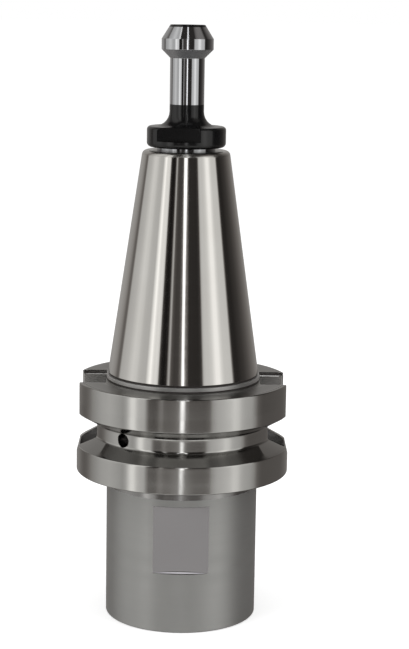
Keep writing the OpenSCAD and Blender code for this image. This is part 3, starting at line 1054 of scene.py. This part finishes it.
def wall_glow(around, up):
    """Glow of walls, roof, foot and cards in each direction, with its faint warm tint."""
    level, low = (np.interp(around, *walls.T) for walls in (CONE_GLOW, FLANGE_GLOW))
    glow = blend(rise(up, *CONE_SPAN), low, level)
    roof_from = ROOF_FROM + LEFT_ROOF_HIGHER * rise(np.abs(around - LEFT_WALL_AT), *LEFT_WALL_SPAN)
    right = rise(np.abs(around - RIGHT_ROOF_AT), *RIGHT_ROOF_SPAN) * rise(up, *RIGHT_ROOF_TOP)
    roof_glow = blend(right, ROOF_GLOW, RIGHT_ROOF_GLOW)
    glow = blend(rise(up, roof_from, roof_from + ROOF_SOFT), glow, roof_glow)
    foot_glow = blend(rise(around, *BEHIND_SPAN), FOOT_GLOW, RIGHT_FOOT_GLOW)
    glow = blend(rise(up, *FOOT_SPAN), glow, foot_glow)
    glow = blend(rise(up, *SHADE_SPAN), glow, SHADE_GLOW)
    wide_card = rise(up, *WIDE_CARD_SPAN) * rise(np.abs(around), *WIDE_CARD_SIDES)
    glow = blend(wide_card * (up > WIDE_CARD_FOOT), glow, WIDE_CARD_GLOW)
    card = rise(np.abs(around), *CARD_SIDES) * (up < CARD_TOP - 0.05) * (up > CARD_FOOT)
    glow = blend(card, glow, CARD_GLOW)[..., None]
    return glow * blend(rise(glow, 0, FULL_TINT), DARK_TINT, LIGHT_TINT)


print("glow level with the camera:", wall_glow(np.zeros(1), np.zeros((1, 1)))[0, 0].round(3).tolist())

# %% [markdown]
# The strip lamp is a band whose light falls off over its soft edges. It is broken
# above the camera, where a thinner tube stands on each side of it and lights the
# edges of the drive slots.

# %% Strip lamp and tubes
STRIP_GLOW, LEFT_TUBE_GLOW, RIGHT_TUBE_GLOW = 2.1, 1.0, 2.6
# Degrees above the horizon, then the lamp's middle and half width as shares of the tent's
# radius, where a half width below zero leaves a gap
STRIP = np.array([
    (-13.5, -0.026, 0.024), (-10.5, 0.001, 0.036), (4, 0.010, 0.045), (8, -0.013, 0.026),
    (12.5, -0.012, 0.034), (15.3, -0.008, 0.052), (17, -0.004, 0.072), (19, 0.002, 0.046),
    (21, 0.008, -0.030), (58, 0.015, -0.030), (62, 0.015, 0.027), (78, 0.000, 0.010),
])
STRIP_FOOT, STRIP_OVER, STRIP_SOFT = -13.7, 55, 0.02
TUBE_AT, TUBE_HALF, TUBE_SOFT, TUBE_FROM, TUBE_TO = 0.072, 0.020, 0.01, 20, 60


def band(distance, half, soft):
    """1 within half of a line and 0 outside it, with an even edge of soft to either side."""
    return rise(distance, half + soft, half - soft)


def add_lamps(colour, x, y, up):
    """The colours with the strip lamp and the two tubes laid over them.

    x and y are the direction's parts to the right and away from the camera. The
    strip runs in front of the object, and beyond STRIP_OVER also over its top.
    """
    middle, half = (np.interp(up, STRIP[:, 0], STRIP[:, column]) for column in (1, 2))
    strip = band(np.abs(x - middle), half, STRIP_SOFT)
    strip = strip * ((y < 0) | (up > STRIP_OVER)) * (up > STRIP_FOOT)
    colour = blend(strip[..., None], colour, STRIP_GLOW)
    tubes = band(np.abs(np.abs(x) - TUBE_AT), TUBE_HALF, TUBE_SOFT)
    tubes = tubes * (y < 0) * (up > TUBE_FROM) * (up < TUBE_TO)
    tube_glow = np.where(x > 0, RIGHT_TUBE_GLOW, LEFT_TUBE_GLOW)
    return blend(tubes[..., None], colour, tube_glow[..., None])


print("strip lamp from", STRIP[0, 0], "to", STRIP[-1, 0], "degrees up")

# %% [markdown]
# The tent is a sphere of directions: round from straight behind the object to the
# same place, and up from the foot to the top, in finer steps near the camera and
# near the horizon. Its glow is an attribute of its points.

# %% Tent
TENT_R = 1.5


def tent_surface():
    """The tent's points and their glow colours, rows up by columns round.

    A direction at azimuth a from the camera and height h is (cos h sin a, -cos h
    cos a, sin h).
    """
    around = np.concatenate([
        np.arange(-180, -60, 1.0), np.arange(-60, 60, 0.5), np.arange(60, 181, 1.0),
    ])
    up = np.concatenate([
        np.arange(-89, -20, 2.0), np.arange(-20, CARD_TOP, 0.5),
        [CARD_TOP], np.arange(-14, 20, 0.5), np.arange(20, 90, 2.0),
    ])[:, None]
    azimuth, height = np.radians(around), np.radians(up)
    x = np.cos(height) * np.sin(azimuth)
    y = -np.cos(height) * np.cos(azimuth)
    z = np.sin(height) + 0 * azimuth
    return np.stack([x, y, z], axis=-1) * TENT_R, add_lamps(wall_glow(around, up), x, y, up)


def tent_paper():
    """A material that only glows, in the colours of the attribute glow."""
    material = bpy.data.materials.new("tent_paper")
    material.use_nodes = True
    nodes, links = material.node_tree.nodes, material.node_tree.links
    nodes.clear()
    glow = nodes.new("ShaderNodeAttribute")
    glow.attribute_name = "glow"
    light = nodes.new("ShaderNodeEmission")
    links.new(glow.outputs["Color"], light.inputs["Color"])
    links.new(light.outputs[0], nodes.new("ShaderNodeOutputMaterial").inputs["Surface"])
    return material


tent_points, tent_colour = tent_surface()
tent_mesh = bpy.data.meshes.new("paper_tent")
tent_faces = grid_faces(*tent_points.shape[:2])
tent_mesh.from_pydata(tent_points.reshape(-1, 3).tolist(), [], tent_faces.tolist())
glow_values = tent_mesh.attributes.new("glow", "FLOAT_COLOR", "POINT")
with_alpha = np.concatenate([tent_colour, np.ones((*tent_colour.shape[:2], 1))], axis=-1)
glow_values.data.foreach_set("color", with_alpha.ravel().astype(np.float32))
tent_mesh.materials.append(tent_paper())
tent = link_mesh("paper_tent", tent_mesh)
tent.visible_camera = tent.visible_diffuse = tent.visible_shadow = False
tent.visible_transmission = tent.visible_volume_scatter = False
print("tent has", len(tent_mesh.polygons), "faces and glows up to", round(float(tent_colour.max()), 2))

# %% [markdown]
# The table and the room are white to whoever looks at them, but they light the
# object only as far as white paper would. So their own light is told apart by the
# kind of ray that meets them. The table lies a hair below the nose, because two
# faces in one plane would flicker.

# %% Table
HALF_TABLE, TABLE_Z = 20.0, -0.0001
TABLE_WHITE, TABLE_SHOWS = 0.86, 0.42


def seen_directly(tree):
    """1 for rays from the camera, a reflection or glass, and 0 for rays that light a surface."""
    ray = tree.nodes.new("ShaderNodeLightPath")
    seen = math_node(tree, "MAXIMUM", ray.outputs["Is Camera Ray"], ray.outputs["Is Glossy Ray"])
    return math_node(tree, "MAXIMUM", seen, ray.outputs["Is Transmission Ray"])


def table_paint():
    """Matt white paint that also shines a little to whoever looks at it."""
    material = bpy.data.materials.new("white_table")
    material.use_nodes = True
    tree = material.node_tree
    shader = tree.nodes["Principled BSDF"]
    shader.inputs["Base Color"].default_value = (TABLE_WHITE, TABLE_WHITE, TABLE_WHITE, 1)
    shader.inputs["Roughness"].default_value = 0.9
    shader.inputs["Specular IOR Level"].default_value = 0.0
    shader.inputs["Emission Color"].default_value = (1, 1, 1, 1)
    shine = math_node(tree, "MULTIPLY", seen_directly(tree), TABLE_SHOWS)
    tree.links.new(shine, shader.inputs["Emission Strength"])
    return material


table_mesh = bpy.data.meshes.new("white_table")
table_corners = [(x * HALF_TABLE, y * HALF_TABLE, TABLE_Z) for x, y in ((-1, -1), (1, -1), (1, 1), (-1, 1))]
table_mesh.from_pydata(table_corners, [], [(0, 1, 2, 3)])
table_mesh.materials.append(table_paint())
table = link_mesh("white_table", table_mesh)
table.visible_glossy = False
print("table spans", 2 * HALF_TABLE, "m")

# %% World and lamps
ROOM_LIGHT, ROOM_SHOWS = 0.7, 0.3
LAMP_SIZE, LAMP_AIM = 0.8, Vector((0, 0, 0.08))
world = bpy.data.worlds.new("white_room")
bpy.context.scene.world = world
world.use_nodes = True
room = world.node_tree
background = room.nodes["Background"]
background.inputs["Color"].default_value = (1, 1, 1, 1)
room_shows = math_node(room, "MULTIPLY", seen_directly(room), ROOM_SHOWS)
room.links.new(math_node(room, "ADD", room_shows, ROOM_LIGHT), background.inputs["Strength"])


def soft_lamp(name, place, power):
    """A square area lamp that looks at the middle of the object."""
    light = bpy.data.lights.new(name, "AREA")
    light.shape, light.size, light.energy = "SQUARE", LAMP_SIZE, power
    lamp = bpy.data.objects.new(name, light)
    aim = (LAMP_AIM - Vector(place)).to_track_quat("-Z", "Y")
    lamp.matrix_world = Matrix.Translation(place) @ aim.to_matrix().to_4x4()
    bpy.context.scene.collection.objects.link(lamp)
    lamp.visible_glossy = False


soft_lamp("lamp_left", (-0.9, -0.6, 1.1), 6.0)
soft_lamp("lamp_right", (1.0, -0.4, 1.0), 5.0)
print("world and two soft lamps are set")
